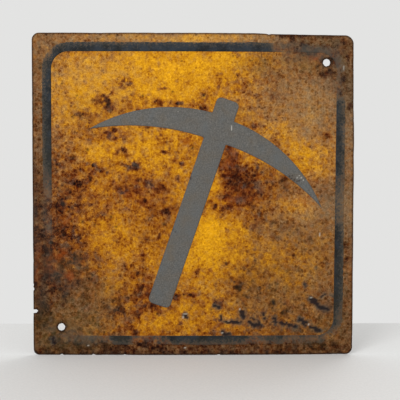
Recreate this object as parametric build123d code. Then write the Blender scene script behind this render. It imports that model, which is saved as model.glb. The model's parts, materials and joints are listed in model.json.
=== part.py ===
"""A square warning sign panel: a steel blank and the three layers finished onto its face.

All sizes are in millimetres. +Z is up and +X is to the right of someone reading the sign,
so the face looks along -Y. The back of the steel lies in the plane y = 0, and the origin is
the middle of the panel, halfway between the two bolt holes.
"""
import os

from build123d import *

# the steel blank
panel_width = 457.0
panel_height = 457.0
corner_radius = 10.0
steel_thickness = 1.5
bolt_hole_radius = 5.55

# the layers on the face, each lying on the one before it
coat_thickness = 0.15
border_thickness = 0.10
symbol_thickness = 0.20

# the border: how far in from the edge of the blank, and how wide
border_margin = 14.0
border_width = 13.0
border_inner_radius = 24.5
bolt_hole_to_border = 7.5

# what rust has eaten out of the edges: distances run along an edge from the lower left corner
notch_depth = 7.5
notch_height = 5.0
notch_from_foot = 62.5
edge_bite_radius = 3.0
edge_bite_depth = 1.6
bites_along_foot = (40.5, 86.0)
bites_up_left_side = (94.5,)

# the pickaxe is drawn upright about its own axis, from the middle of the panel, then tilted
symbol_tilt = 18.9
symbol_axis_offset = 3.4
symbol_side_gap = 36.0
symbol_end_gap = 52.4
head_top = 143.5
head_half_width = 16.4
head_neck = 93.5
handle_half_width_neck = 16.4
handle_half_width_foot = 16.2
handle_foot = -164.5
symbol_corner_radius = 7.0

# each blade: its tip, the middle of each long edge, and where the edges meet the axis
left_blade = {
    "tip": (-174.0, 40.2),
    "upper_edge": (-91.5, 100.6),
    "lower_edge": (-95.0, 71.5),
    "root_top": 119.5,
    "root_bottom": 82.0,
}
right_blade = {
    "tip": (175.2, 42.0),
    "upper_edge": (95.6, 99.3),
    "lower_edge": (78.0, 76.8),
    "root_top": 116.8,
    "root_bottom": 82.0,
}

# sizes that follow from the ones above
opening_width = panel_width - 2 * (border_margin + border_width)
opening_height = panel_height - 2 * (border_margin + border_width)
bolt_hole_inset = border_margin + border_width + bolt_hole_to_border + bolt_hole_radius
bolt_hole_x = panel_width / 2 - bolt_hole_inset
bolt_hole_z = panel_height / 2 - bolt_hole_inset
left_side = -panel_width / 2
foot = -panel_height / 2


def layer(outline, depth, thickness):
    """A flat sheet of the given outline whose back is `depth` in front of the panel's back."""
    return extrude(Plane.XZ.offset(depth) * outline, amount=thickness)


def bolt_holes():
    """The two holes, on the diagonal from the lower left corner to the upper right one."""
    hole = Circle(bolt_hole_radius)
    return Pos(bolt_hole_x, bolt_hole_z) * hole + Pos(-bolt_hole_x, -bolt_hole_z) * hole


def rust_notch():
    """The slot that rust has opened in the left edge, with a round inner end."""
    inner_end_run = 2 * (notch_depth - notch_height / 2)
    return Pos(left_side, foot + notch_from_foot) * SlotCenterToCenter(inner_end_run, notch_height)


def edge_bites():
    """Shallow bites along the foot and the left side, each a shallow part of a circle."""
    stand_off = edge_bite_radius - edge_bite_depth
    bite = Circle(edge_bite_radius)
    bites = [Pos(left_side + run, foot - stand_off) * bite for run in bites_along_foot]
    bites += [Pos(left_side - stand_off, foot + run) * bite for run in bites_up_left_side]
    return bites


def blank_outline():
    """The outline that the steel and its coat share."""
    outline = RectangleRounded(panel_width, panel_height, corner_radius)
    outline -= bolt_holes()
    outline -= rust_notch()
    for bite in edge_bites():
        outline -= bite
    return outline


def border_outline():
    """A ring of even width that runs parallel to the edge of the blank."""
    outer_radius = border_inner_radius + border_width
    outer = RectangleRounded(opening_width + 2 * border_width, opening_height + 2 * border_width, outer_radius)
    inner = RectangleRounded(opening_width, opening_height, border_inner_radius)
    return outer - inner


def handle_outline():
    """The handle and the head above it: two tapered lengths that meet behind the blades."""
    right_side = [
        (handle_half_width_foot, handle_foot),
        (handle_half_width_neck, head_neck),
        (head_half_width, head_top),
    ]
    left_side_points = [(-x, z) for x, z in reversed(right_side)]
    face = make_face(Polyline(*right_side, *left_side_points, close=True))
    ends = face.vertices().filter_by(lambda corner: abs(corner.Y - head_neck) > symbol_corner_radius)
    return fillet(ends, symbol_corner_radius)


def blade_outline(blade):
    """One blade: two arcs that meet at its tip, closed along the axis of the handle."""
    root_top = (0, blade["root_top"])
    root_bottom = (0, blade["root_bottom"])
    upper = ThreePointArc(root_top, blade["upper_edge"], blade["tip"])
    lower = ThreePointArc(blade["tip"], blade["lower_edge"], root_bottom)
    return make_face([upper, lower, Line(root_bottom, root_top)])


def symbol_outline():
    """The pickaxe, tilted, and sized to keep its gaps to the border on all sides."""
    upright = handle_outline() + blade_outline(left_blade) + blade_outline(right_blade)
    drawn = Rot(0, 0, -symbol_tilt) * Pos(symbol_axis_offset, 0) * upright
    drawn_size = drawn.bounding_box().size
    fit_across = (opening_width - 2 * symbol_side_gap) / drawn_size.X
    fit_up = (opening_height - 2 * symbol_end_gap) / drawn_size.Y
    return scale(drawn, by=min(fit_across, fit_up))


def sign_plate():
    """The blank, sheared from sheet steel."""
    return layer(blank_outline(), 0, steel_thickness)


def yellow_coat():
    """The yellow ground, over the whole face of the blank."""
    return layer(blank_outline(), steel_thickness, coat_thickness)


def border_band():
    """The dark border, printed over the yellow."""
    return layer(border_outline(), steel_thickness + coat_thickness, border_thickness)


def pick_symbol():
    """The pickaxe, cut from film and stuck over the yellow."""
    return layer(symbol_outline(), steel_thickness + coat_thickness, symbol_thickness)


parts = {
    "sign_plate": sign_plate(),
    "yellow_coat": yellow_coat(),
    "border_band": border_band(),
    "pick_symbol": pick_symbol(),
}

os.makedirs("parts", exist_ok=True)
for node, shape in parts.items():
    shape.label = node
    export_step(shape, f"parts/{node}.step")
    print(node, round(shape.volume, 1), "mm3")
print("bolt hole circle", round(2 * (bolt_hole_x**2 + bolt_hole_z**2) ** 0.5, 3), "mm")
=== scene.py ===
"""The visual model of a rusted square warning sign: steel panel, enamel, border and pickaxe film.

Sizes in this file are millimetres unless a name or a heading says otherwise. A point on the face
is (x, z) from the middle of the panel; the face looks along -Y, and the back of the steel is at
y = 0 before the sheet is bent.
"""
import json
import math

import bpy
import numpy as np
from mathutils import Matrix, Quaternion, Vector
from mathutils.geometry import delaunay_2d_cdt


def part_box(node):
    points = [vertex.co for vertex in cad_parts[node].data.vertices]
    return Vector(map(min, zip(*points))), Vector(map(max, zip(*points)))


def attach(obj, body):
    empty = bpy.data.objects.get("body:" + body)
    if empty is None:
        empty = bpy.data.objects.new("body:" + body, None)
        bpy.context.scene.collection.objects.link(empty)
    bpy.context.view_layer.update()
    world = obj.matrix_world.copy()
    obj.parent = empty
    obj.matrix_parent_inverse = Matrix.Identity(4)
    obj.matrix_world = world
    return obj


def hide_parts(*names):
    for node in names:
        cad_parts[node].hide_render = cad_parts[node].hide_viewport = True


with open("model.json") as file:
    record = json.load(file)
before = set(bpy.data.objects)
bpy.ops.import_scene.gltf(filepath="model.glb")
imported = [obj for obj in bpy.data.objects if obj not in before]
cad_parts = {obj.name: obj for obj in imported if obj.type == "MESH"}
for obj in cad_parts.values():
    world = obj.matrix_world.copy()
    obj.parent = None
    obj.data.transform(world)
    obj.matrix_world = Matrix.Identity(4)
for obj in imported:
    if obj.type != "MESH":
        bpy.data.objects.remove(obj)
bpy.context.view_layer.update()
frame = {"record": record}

MM = 0.001
# what delaunay_2d_cdt calls the fill that leaves holes open
INSIDE_WITH_HOLES = 2

# ---- sizes taken from the frame

plate_low, plate_high = (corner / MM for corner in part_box("sign_plate"))
film_low, film_high = (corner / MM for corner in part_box("pick_symbol"))
band_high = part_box("border_band")[1] / MM
coat_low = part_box("yellow_coat")[0] / MM
mounts = {mount["name"]: mount for mount in frame["record"]["mounts"]}
holes = mounts["bolt_holes"]["dims"]

HALF_WIDTH, HALF_HEIGHT = plate_high.x, plate_high.z
FACE_Y = coat_low.y
HOLE_RADIUS = holes["hole_r_mm"]
HOLE_RUN = holes["pcd_mm"] / 2 / math.sqrt(2)
BAND_OUTER = band_high.x
BAND_WIDTH = 13.0
BAND_INNER = BAND_OUTER - BAND_WIDTH
BAND_INNER_RADIUS = 24.5

# ---- noise and soft marks, worked out for whole arrays of points at once


def step_up(value, low, high):
    """0 below low, 1 above high, and a smooth rise between."""
    t = np.clip((value - low) / (high - low), 0, 1)
    return t * t * (3 - 2 * t)


def scatter(ix, iz, seed):
    """A fixed random number from 0 to 1 for each cell of an endless grid."""
    mixed = (ix.astype(np.int64) * 374761393 + iz.astype(np.int64) * 668265263 + seed * 974711) & 0xFFFFFFFF
    mixed = ((mixed ^ (mixed >> 13)) * 1274126177) & 0xFFFFFFFF
    mixed = ((mixed ^ (mixed >> 16)) * 2246822519) & 0xFFFFFFFF
    return ((mixed ^ (mixed >> 15)) & 0xFFFFFF) / 0xFFFFFF


def swell(x, z, size, seed):
    """Smooth noise from 0 to 1 whose lumps are about `size` across; each seed gives another pattern."""
    turn = 0.7 * seed
    u = (x * math.cos(turn) - z * math.sin(turn)) / size + 31.7 * seed
    v = (x * math.sin(turn) + z * math.cos(turn)) / size - 17.3 * seed
    iu, iv = np.floor(u), np.floor(v)
    fu, fv = u - iu, v - iv
    fu, fv = (f * f * f * (f * (6 * f - 15) + 10) for f in (fu, fv))
    low = scatter(iu, iv, seed) * (1 - fu) + scatter(iu + 1, iv, seed) * fu
    high = scatter(iu, iv + 1, seed) * (1 - fu) + scatter(iu + 1, iv + 1, seed) * fu
    return low * (1 - fv) + high * fv


def cloud(x, z, size, seed, layers=4, keep=0.6):
    """Layered noise about 0, from lumps of `size` down to finer and fainter ones."""
    total, weight, amount = 0, 0, 1
    for layer in range(layers):
        total = total + amount * (swell(x, z, size, seed + 7 * layer) - 0.5)
        weight += amount
        size, amount = size / 2, amount * keep
    return 2 * total / weight


def soft_marks(x, z, marks):
    """The sum of soft round marks, each (x, z, half width, half height, strength in per cent)."""
    total = np.zeros_like(x)
    for mark_x, mark_z, half_width, half_height, strength in marks:
        reach = ((x - mark_x) / half_width) ** 2 + ((z - mark_z) / half_height) ** 2
        total += strength / 100 * np.exp(-reach)
    return total


def distance_to_run(x, z, start_x, start_z, end_x, end_z):
    """Distance from each point to the straight run between two points."""
    run_x, run_z = end_x - start_x, end_z - start_z
    along = ((x - start_x) * run_x + (z - start_z) * run_z) / (run_x**2 + run_z**2)
    along = np.clip(along, 0, 1)
    return np.hypot(x - start_x - along * run_x, z - start_z - along * run_z)


# ---- outlines, as distances: negative inside, positive outside

# each corner has worn to its own roundness: (side, end, radius)
CORNERS = ((-1, 1, 10.0), (1, 1, 13.5), (-1, -1, 8.0), (1, -1, 10.5))
# the notch in the left edge: its height on the panel, half its own height, how far outside the edge
# it starts, how far inside it the middle of the round end is, and how ragged it is
NOTCH_Z, NOTCH_HALF, NOTCH_START, NOTCH_END, NOTCH_RAGGED = -166.0, 2.5, 6, 5.0, 0.9
# rust bites in the edges: (x, z, radius), each centred at or beyond the edge
EDGE_BITES = (
    (-188.0, -229.9, 3.0), (-142.5, -229.9, 3.0), (-229.9, -134.0, 3.0),
    (-98.0, -230.6, 3.2), (36.0, -230.8, 3.4), (-229.8, -128.0, 2.4), (106.0, 231.0, 4.2),
)
# the edges are nibbled a little everywhere and more in some stretches
FINE_NIBBLES, LONG_NIBBLES = 0.35, 0.5
# the bent corner has lost the most: how much, and the x + z where that begins and where it is full
CORNER_LOSS, LOSS_BEGINS, LOSS_FULL = 0.9, 310.0, 360.0
# the border was printed a touch right and high, and its right side leans in towards the foot
BAND_RIGHT, BAND_UP, BAND_LEAN = 0.3, 0.9, 0.0065


def rounded_box(x, z, half_width, half_height, radius):
    """A box with round corners."""
    over_x = np.abs(x) - half_width + radius
    over_z = np.abs(z) - half_height + radius
    outside = np.hypot(np.maximum(over_x, 0), np.maximum(over_z, 0))
    return outside + np.minimum(np.maximum(over_x, over_z), 0) - radius


def panel_edge(x, z):
    """The outline of the panel, with its corners, bolt holes, notch and the rust along its edges."""
    outline = np.full_like(x, -1e3)
    for side, end, radius in CORNERS:
        here = (np.sign(x + 1e-9) == side) & (np.sign(z + 1e-9) == end)
        outline = np.where(here, rounded_box(x, z, HALF_WIDTH, HALF_HEIGHT, radius), outline)
    nibbled = FINE_NIBBLES * np.maximum(cloud(x, z, 9.0, 11, 3), 0)
    nibbled = nibbled + LONG_NIBBLES * np.maximum(cloud(x, z, 45.0, 12, 2), 0)
    outline = outline + nibbled + CORNER_LOSS * step_up(x + z, LOSS_BEGINS, LOSS_FULL)
    for end in (1, -1):
        hole = HOLE_RADIUS - np.hypot(x - end * HOLE_RUN, z - end * HOLE_RUN)
        outline = np.maximum(outline, hole)
    away = distance_to_run(x, z, -HALF_WIDTH - NOTCH_START, NOTCH_Z, -HALF_WIDTH + NOTCH_END, NOTCH_Z)
    notch = NOTCH_HALF + NOTCH_RAGGED * cloud(x, z, 4.0, 13, 2) - away
    outline = np.maximum(outline, notch)
    for bite_x, bite_z, radius in EDGE_BITES:
        outline = np.maximum(outline, radius - np.hypot(x - bite_x, z - bite_z))
    return outline


def band_ring(x, z):
    """The inner and the outer outline of the border as it was printed."""
    lean = np.where(x > 0, BAND_LEAN * z, 0.0)
    across, up = x - BAND_RIGHT - lean, z - BAND_UP
    inner = rounded_box(across, up, BAND_INNER, BAND_INNER, BAND_INNER_RADIUS)
    outer = rounded_box(across, up, BAND_OUTER, BAND_OUTER, BAND_INNER_RADIUS + BAND_WIDTH)
    return inner, outer


# the pickaxe is drawn upright about the axis of its handle, then tilted
PICK_TILT = math.radians(18.9)
PICK_AXIS = 3.4
HEAD_TOP, HEAD_NECK, HANDLE_FOOT = 143.5, 93.5, -164.5
HEAD_HALF, NECK_HALF, FOOT_HALF = 16.4, 16.4, 16.2
PICK_CORNER = 7.0
# the head runs on behind the blades, so that the neck has no corners
HEAD_OVERLAP = 20
# each blade: side, tip, a point on each long edge, and where the edges meet the axis
BLADES = (
    (-1, (-174.0, 40.2), (-91.5, 100.6), (-95.0, 71.5), 119.5, 82.0),
    (1, (175.2, 42.0), (95.6, 99.3), (78.0, 76.8), 116.8, 82.0),
)


def circle_through(a, b, c):
    """Centre and radius of the circle through three points."""
    a, b, c = (np.array(point) for point in (a, b, c))
    centre = np.linalg.solve(2 * np.array([b - a, c - a]), [b @ b - a @ a, c @ c - a @ a])
    return centre, math.hypot(*(a - centre))


def tapered_length(u, v, low, high, low_half, high_half):
    """A straight-sided length along v with round corners, whose half width changes evenly."""
    share = (v - low) / (high - low)
    side = np.abs(u) - (low_half + share * (high_half - low_half)) + PICK_CORNER
    ends = np.maximum(low - v, v - high) + PICK_CORNER
    over = np.hypot(np.maximum(side, 0), np.maximum(ends, 0))
    return over + np.minimum(np.maximum(side, ends), 0) - PICK_CORNER


def pick_edge(x, z):
    """The outline of the pickaxe."""
    u = x * math.cos(PICK_TILT) - z * math.sin(PICK_TILT) - PICK_AXIS
    v = x * math.sin(PICK_TILT) + z * math.cos(PICK_TILT)
    handle = tapered_length(u, v, HANDLE_FOOT, HEAD_NECK, FOOT_HALF, NECK_HALF)
    head = tapered_length(u, v, HEAD_NECK - HEAD_OVERLAP, HEAD_TOP, NECK_HALF, HEAD_HALF)
    outline = np.minimum(handle, head)
    for hand, tip, upper, lower, root_top, root_bottom in BLADES:
        top_centre, top_radius = circle_through((0, root_top), upper, tip)
        low_centre, low_radius = circle_through((0, root_bottom), lower, tip)
        above = np.hypot(u - top_centre[0], v - top_centre[1]) - top_radius
        below = low_radius - np.hypot(u - low_centre[0], v - low_centre[1])
        blade = np.maximum(np.maximum(above, below), -hand * u)
        outline = np.minimum(outline, blade)
    return outline


# ---- how the panel has weathered; a soft mark is (x, z, half width, half height, strength in per cent)

# where the paint is cleaner than the rest, or a little less clean where the strength is above 0
CLEAN_PAINT = (
    (8, 180, 84, 42, -24), (-110, 178, 55, 40, -8), (-165, 150, 40, 40, -10), (-60, 58, 45, 32, -18),
    (-137, 62, 24, 16, -18), (-175, 115, 24, 26, -5), (22, -62, 30, 52, -20), (48, -62, 30, 34, -8),
    (14, -128, 34, 28, -2), (-125, -52, 36, 26, -8), (-112, -110, 30, 28, -2), (-52, -88, 20, 28, -7),
    (-30, -180, 62, 20, -13), (158, 62, 36, 26, -14), (122, 90, 20, 14, -10), (158, -6, 20, 12, -4),
    (30, 14, 11, 22, -26), (-16, 30, 11, 44, -16), (-60, 150, 50, 20, -10), (-187, 38, 12, 22, -14),
    (83, 53, 12, 6, -20), (66, 62, 12, 6, -20), (99, 46, 10, 5, -16), (130, -95, 70, 26, 2),
    (-140, 10, 12, 9, -16), (95, 158, 45, 24, 4), (-62, 188, 20, 14, -10), (138, 186, 20, 12, -7),
    (-112, 140, 20, 8, -7), (-50, 138, 26, 10, -12), (-30, 223, 120, 8, -22), (80, 223, 30, 8, -8),
    (-12, 140, 20, 10, -10), (63, 113, 14, 12, -11), (-37, 88, 14, 10, -14), (-187, 92, 14, 20, -8),
    (163, 63, 16, 12, -8), (188, 38, 14, 14, -16), (40, -12, 14, 8, -9), (163, -20, 16, 24, -10),
    (63, -48, 16, 20, -9), (188, -62, 16, 16, -8), (-125, -62, 24, 14, -14), (35, -45, 22, 16, -6),
    (-8, -88, 12, 22, -14), (20, -88, 26, 14, -6), (63, -112, 12, 8, -12), (38, -137, 14, 12, -10),
    (-162, -162, 20, 16, -10), (-12, -162, 14, 12, -10),
)
# where the ground has rusted through, and less so where the strength is below 0
RUST_GROUND = (
    (-215, -70, 34, 190, 15), (-172, 18, 34, 30, 7), (-188, -90, 36, 80, 20), (-150, -130, 34, 36, 14),
    (-90, 10, 60, 20, 13), (-60, 0, 30, 24, 4), (66, 24, 30, 34, 31), (48, 62, 16, 14, 22),
    (92, 8, 34, 26, 12), (120, 14, 26, 14, 10), (45, -14, 36, 14, 19), (88, -38, 22, 22, 7),
    (140, -48, 44, 26, 10), (110, 165, 60, 60, 2), (195, 192, 56, 50, 14), (168, 130, 50, 40, -2),
    (150, 204, 34, 10, 5), (-165, -208, 30, 6, 6), (148, 226, 22, 5, 10), (-24, 226, 14, 4, 16),
    (70, -128, 32, 26, 13), (110, -160, 80, 34, 7), (150, -200, 90, 30, 16), (-165, -190, 60, 40, 14),
    (-75, -140, 34, 22, 14), (-90, -165, 30, 18, 7), (-155, 92, 26, 12, 10), (-100, 88, 24, 14, 10),
    (-60, -20, 30, 14, 10), (-185, 45, 20, 40, 10), (0, -228, 240, 14, 22), (-228, 0, 12, 240, 4),
    (188, 0, 20, 60, 14), (190, -100, 20, 60, 10), (-70, -212, 90, 14, 16), (128, 172, 34, 26, 10),
    (-150, -55, 30, 40, 10), (-62, -62, 18, 20, 14), (44, -66, 12, 50, 10), (-87, -112, 20, 16, 12),
    (180, -150, 30, 24, 12), (-100, -187, 24, 16, 12), (190, 196, 40, 30, 6), (0, -224, 240, 16, 10),
    (88, 186, 16, 12, 9), (176, 88, 24, 14, 8), (13, 63, 14, 12, 10), (-137, 38, 14, 12, 9),
    (-87, 38, 14, 10, 9), (38, 38, 12, 12, 8), (-62, 10, 20, 12, 11), (138, 13, 18, 12, 12),
    (-162, -14, 16, 14, 17), (88, -12, 14, 10, 9), (-187, -38, 14, 14, 9), (-87, -36, 16, 10, 9),
    (-37, -37, 14, 14, 10), (-187, -88, 14, 12, 8), (-137, -90, 14, 12, 9), (-87, -112, 14, 12, 11),
    (-62, -140, 14, 10, 9), (88, -137, 16, 10, 10), (113, -137, 12, 10, 8), (-62, -162, 14, 10, 10),
    (-37, -188, 14, 10, 8), (188, -214, 20, 12, 10), (222, -100, 10, 36, 8), (222, -165, 10, 34, 10),
    (197, -160, 10, 24, 10), (-195, 62, 8, 34, 7), (0, -222, 160, 7, -6), (-190, -130, 40, 60, 10),
    (163, 5, 20, 16, 14), (-90, 46, 18, 12, 10), (205, 60, 12, 80, 6),
)
# small dark blooms of rust
RUST_BLOOMS = (
    (-121, 131, 9, 11, 50), (-112, 146, 8, 5, 24), (-97, 157, 12, 8, 36), (-89, 150, 5, 4, 26),
    (-88, 134, 6, 5, 32), (-133, 133, 10, 6, 18), (-100, 121, 14, 4, 26), (-52, 129, 8, 5, 34),
    (-38, 131, 9, 6, 30), (-18, 130, 9, 5, 32), (-43, 149, 6, 3, 26), (-160, 116, 12, 5, 24),
    (-145, 107, 6, 8, 24), (-165, 92, 16, 6, 14), (-115, 84, 12, 8, 42), (-112, 93, 5, 4, 30),
    (-102, 59, 9, 6, 42), (-47, 79, 7, 6, 26), (-67, 95, 7, 4, 26), (-41, 61, 7, 3, 28), (-20, 57, 8, 7, 36),
    (-26, 47, 6, 5, 28), (-36, 41, 7, 5, 22), (-16, 43, 5, 6, 24), (-20, 23, 6, 6, 28), (-12, 81, 7, 5, 26),
    (-146, 42, 12, 6, 34), (-129, 35, 12, 6, 24), (-147, 22, 7, 6, 30), (-166, 33, 8, 5, 22),
    (-165, 11, 10, 8, 32), (-192, 42, 8, 6, 16), (-95, 42, 14, 8, 20), (-78, 34, 11, 12, 24),
    (-102, 6, 14, 8, 30), (-68, 19, 9, 6, 28), (-45, 14, 9, 5, 34), (-37, 8, 6, 4, 22), (40, 165, 10, 7, 30),
    (61, 163, 6, 7, 20), (34, 153, 6, 4, 26), (66, 153, 7, 5, 26), (14, 141, 6, 6, 46), (12, 124, 7, 5, 42),
    (85, 150, 8, 9, 16), (112, 141, 12, 9, 14), (54, 60, 10, 10, 16), (60, 30, 12, 14, 20),
    (70, 16, 12, 8, 20), (44, 34, 8, 6, 14), (91, 40, 7, 6, 20), (26, -15, 8, 7, 22), (66, -2, 16, 6, 18),
    (84, -42, 9, 9, 16), (137, -40, 9, 6, 14), (118, -61, 8, 5, 12), (166, -61, 7, 6, 18),
    (62, -130, 7, 6, 40), (60, -118, 8, 6, 22), (102, -112, 8, 5, 24), (88, -106, 8, 4, 14),
    (85, -146, 10, 7, 20), (44, -97, 6, 5, 22), (5, -110, 8, 8, 26), (33, -157, 7, 6, 34),
    (10, -159, 6, 5, 20), (112, -153, 6, 6, 26), (131, -163, 9, 8, 24), (158, -128, 6, 6, 26),
    (141, -127, 6, 5, 14), (99, -166, 4, 6, 26), (-35, -22, 10, 6, 36), (-68, -12, 14, 10, 24),
    (-50, -58, 9, 9, 30), (-104, -66, 11, 8, 22), (-132, -28, 12, 5, 22), (-141, -12, 8, 7, 18),
    (-97, -105, 6, 6, 28), (-84, -114, 12, 6, 18), (-76, -90, 8, 8, 16), (-80, -134, 12, 8, 22),
    (-64, -128, 8, 8, 20), (-106, -146, 12, 6, 24), (-104, -163, 8, 5, 26), (-120, -166, 7, 6, 30),
    (-58, -156, 9, 6, 42), (-78, -168, 9, 9, 34), (-85, -192, 8, 6, 24), (-32, -165, 6, 6, 24),
    (-23, -189, 6, 8, 28), (-18, -142, 8, 5, 30), (-25, -149, 7, 5, 26), (-2, -140, 9, 6, 20),
    (178, 185, 5, 5, 36), (186, 171, 6, 5, 24), (193, 178, 4, 4, 30), (155, 209, 7, 5, 26),
    (150, 214, 5, 4, 16), (124, 223, 7, 4, 30), (213, 217, 7, 6, 36), (134, 224, 8, 4, 30),
    (140, 218, 6, 4, 24), (163, 201, 5, 5, 22), (177, 207, 6, 5, 24), (181, 196, 5, 4, 22),
    (197, 193, 5, 6, 22), (211, 154, 6, 5, 24), (207, 144, 5, 5, 20), (197, 171, 6, 5, 20),
    (153, 227, 8, 3, 30), (172, 222, 5, 3, 24), (222, 200, 3, 8, 24), (224, 182, 3, 6, 24),
    (192, 224, 7, 3, 24), (-60, 226, 12, 3, 24), (-150, 222, 8, 4, 22), (217, 164, 7, 5, 34),
    (224, 128, 4, 7, 26), (190, 85, 7, 6, 16), (104, 108, 6, 6, 22), (88, 98, 12, 5, 20),
    (165, 66, 6, 5, 18), (183, 46, 4, 4, 20), (137, 22, 10, 4, 34), (-188, -11, 6, 5, 30),
    (-192, -58, 6, 6, 20), (-190, -25, 8, 6, 16), (-166, -66, 10, 8, 12), (-210, -96, 10, 14, 20),
    (-208, -118, 9, 7, 26), (-224, -127, 5, 7, 40), (-205, -131, 8, 5, 24), (-206, -158, 8, 6, 28),
    (-183, -137, 7, 8, 14), (-170, -88, 8, 5, 14), (-136, -212, 9, 5, 24), (-62, -210, 12, 8, 20),
    (-52, -217, 6, 4, 24), (-200, -206, 6, 5, 24), (-140, -222, 10, 3, 20), (-215, -20, 8, 12, 16),
    (218, -72, 6, 10, 20), (219, -91, 3, 3, 30), (107, -206, 4, 3, 34),
)
# dust that greys and calms what is under it, washed off where the strength is below 0; the marks over the
# bent upper-right corner also paint there the paler grey that the bend's lighting gives
DUST_AND_BEND_LIGHT = (
    (-140, 170, 60, 40, 26), (110, 130, 40, 50, 20), (165, 136, 66, 56, 66), (200, 190, 60, 60, 14),
    (165, 90, 30, 18, 24), (140, 10, 40, 20, 24), (-12, -87, 40, 24, -30), (-12, -162, 30, 20, -25),
    (-120, -62, 40, 26, -35), (48, -62, 30, 50, -20), (188, -62, 16, 40, -15), (90, -145, 60, 20, 15),
    (160, 206, 50, 18, 16), (222, 140, 10, 80, 12), (105, 160, 40, 40, 6), (188, -14, 36, 46, 45),
    (150, -45, 60, 34, 40), (185, -150, 40, 60, 30), (-175, -165, 50, 60, 46), (-212, 60, 20, 220, 20),
    (-160, -150, 50, 30, 24), (-190, 90, 20, 60, 20), (120, -150, 60, 36, 22), (205, 0, 20, 230, 30),
    (100, -60, 40, 30, 16), (-110, 110, 60, 40, 10), (-180, 20, 40, 60, 14), (0, 222, 240, 10, 20),
    (0, -222, 240, 12, 20), (20, -130, 70, 20, 10), (-160, 176, 50, 16, 20), (188, 0, 16, 24, 20),
    (-112, -72, 50, 40, 16),
)
# a green-brown film of dirt and algae where the panel stays damp
ALGAE = (
    (120, -60, 60, 40, 40), (110, -125, 70, 40, 80), (150, -190, 60, 26, 50), (188, -195, 24, 24, 40),
    (95, 184, 40, 18, 80), (163, 188, 24, 14, 80), (63, 110, 16, 12, 70), (-187, -192, 46, 34, 80),
    (-140, -187, 34, 22, 60), (-175, -100, 40, 26, 40), (-125, -140, 30, 20, 80), (-205, 188, 20, 20, 40),
    (-150, 122, 30, 20, 40), (180, -80, 24, 40, 40), (60, -160, 60, 14, 20), (120, 20, 30, 30, 20),
)
# the red-orange of fresh rust
EMBERS = (
    (-188, -86, 9, 7, 90), (-176, -115, 8, 6, 90), (-183, -36, 9, 10, 50), (-205, -100, 8, 10, 40),
    (66, 111, 8, 7, 80), (-112, 92, 14, 10, 30), (52, 50, 14, 20, 50), (60, 0, 40, 16, 40),
    (78, 62, 14, 5, 60), (-8, 78, 14, 8, 60), (-90, 0, 50, 20, 30), (-140, 110, 8, 5, 40),
    (98, 52, 12, 4, 50), (157, -7, 14, 6, 50), (172, 197, 9, 6, 90), (-60, -140, 14, 14, 30),
    (-224, -100, 6, 30, 50),
)
# cold grey patches of worn undercoat, and of what is left of the border
GREY_PATCHES = (
    (158, 207, 9, 6, 90), (175, 208, 10, 5, 80), (187, 203, 9, 5, 70), (203, 208, 8, 7, 80),
    (207, 195, 6, 8, 80), (206, 184, 9, 5, 80), (146, 215, 10, 4, 60), (134, 212, 10, 4, 50),
    (193, 167, 8, 6, 50), (207, 152, 9, 14, 50), (84, -182, 9, 7, 70), (125, -187, 22, 6, 50),
    (188, -162, 11, 7, 80), (150, -186, 9, 6, 50), (72, -170, 7, 7, 40), (-204, 204, 9, 9, 90),
    (-190, 210, 12, 5, 50), (-210, 190, 5, 12, 50), (124, 208, 16, 9, 100), (170, 200, 18, 7, 70),
    (146, 194, 12, 8, 50), (186, 190, 9, 10, 50), (192, 152, 10, 10, 35), (-165, -208, 30, 6, 70),
    (222, 150, 5, 30, 30), (-200, -190, 12, 9, 60), (-174, -198, 14, 9, 80), (-168, -190, 8, 8, 50),
    (-150, -205, 13, 6, 70), (-205, -112, 8, 16, 50), (-215, -150, 9, 13, 50), (-190, -112, 9, 9, 60),
    (-183, -142, 6, 15, 60), (-168, -97, 9, 6, 60), (-207, -76, 8, 24, 40), (-209, 0, 7, 20, 50),
    (-208, -42, 6, 14, 60), (-212, -30, 6, 20, 40), (-150, -90, 10, 6, 30), (-174, -125, 8, 8, 40),
    (30, -158, 9, 8, 30), (92, -154, 8, 12, 30), (133, -150, 14, 8, 25), (92, -46, 12, 8, 30),
    (146, -48, 14, 8, 30), (95, 10, 10, 7, 35), (100, 38, 8, 5, 30), (-225, -60, 4, 90, 40),
    (-152, -165, 8, 8, 30), (-118, -166, 8, 7, 40), (-141, -12, 9, 8, 30), (-186, -12, 7, 6, 40),
    (-190, 8, 10, 6, 40), (70, 110, 10, 8, 20), (120, 150, 16, 10, 25), (105, 175, 12, 8, 30),
    (130, 190, 14, 8, 30), (-160, 128, 10, 8, 20), (-112, 128, 12, 12, 25), (-96, 152, 10, 8, 25),
    (-146, 108, 10, 8, 25),
)
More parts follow.
